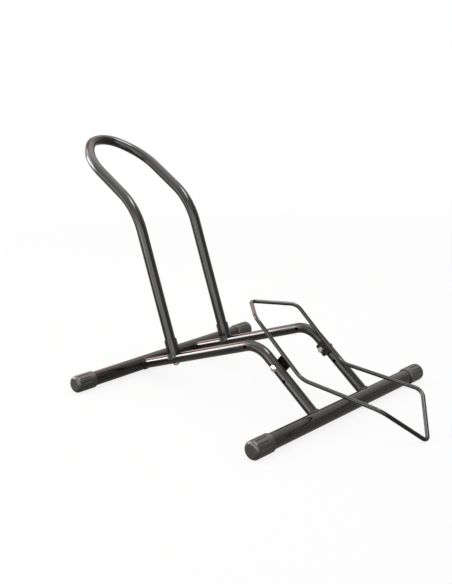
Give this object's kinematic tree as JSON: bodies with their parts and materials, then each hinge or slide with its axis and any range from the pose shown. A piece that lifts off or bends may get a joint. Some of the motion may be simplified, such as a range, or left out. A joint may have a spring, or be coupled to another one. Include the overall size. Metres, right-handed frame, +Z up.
{
  "type": "floor bike rack",
  "caption": "Floor rack for a bicycle wheel: capped crossbars, bent rails, a tall bent-tube hoop in sockets and a rocking wire cradle bolted between the rails.",
  "frame": {"origin": "on the floor under the middle of the whole rack's outline, cradle at rest", "axes": "+X from the rear crossbar (hoop end) to the front crossbar (cradle end), +Y to the left, +Z up"},
  "size_m": [0.6761, 0.41, 0.38],
  "materials": {
    "tube_black": "gloss black paint",
    "wire_black": "satin black paint",
    "cap_rubber": "matte dark grey",
    "zinc_steel": "bright zinc plate"
  },
  "bodies": {
    "frame": {"rear_crossbar": "tube_black", "front_crossbar": "tube_black", "left_rail": "tube_black", "right_rail": "tube_black", "left_socket": "tube_black", "right_socket": "tube_black", "wheel_hoop": "tube_black", "rear_left_cap": "cap_rubber", "rear_right_cap": "cap_rubber", "front_left_cap": "cap_rubber", "front_right_cap": "cap_rubber", "left_hoop_bolt": "zinc_steel", "right_hoop_bolt": "zinc_steel", "left_leg_plug": "zinc_steel", "right_leg_plug": "zinc_steel", "left_pivot_bolt": "zinc_steel", "right_pivot_bolt": "zinc_steel", "left_pivot_spacer": "tube_black", "right_pivot_spacer": "tube_black", "left_pivot_nut": "zinc_steel", "right_pivot_nut": "zinc_steel"},
    "cradle": {"cradle_wire": "wire_black", "left_cradle_plate": "tube_black", "right_cradle_plate": "tube_black"}
  },
  "joints": [
    {"name": "cradle_rock", "type": "hinge", "parent": "frame", "child": "cradle", "pos_m": [0.12258, 0, 0.07261], "axis": [0, -1, 0], "range_deg": [0, 69.8]}
  ]
}
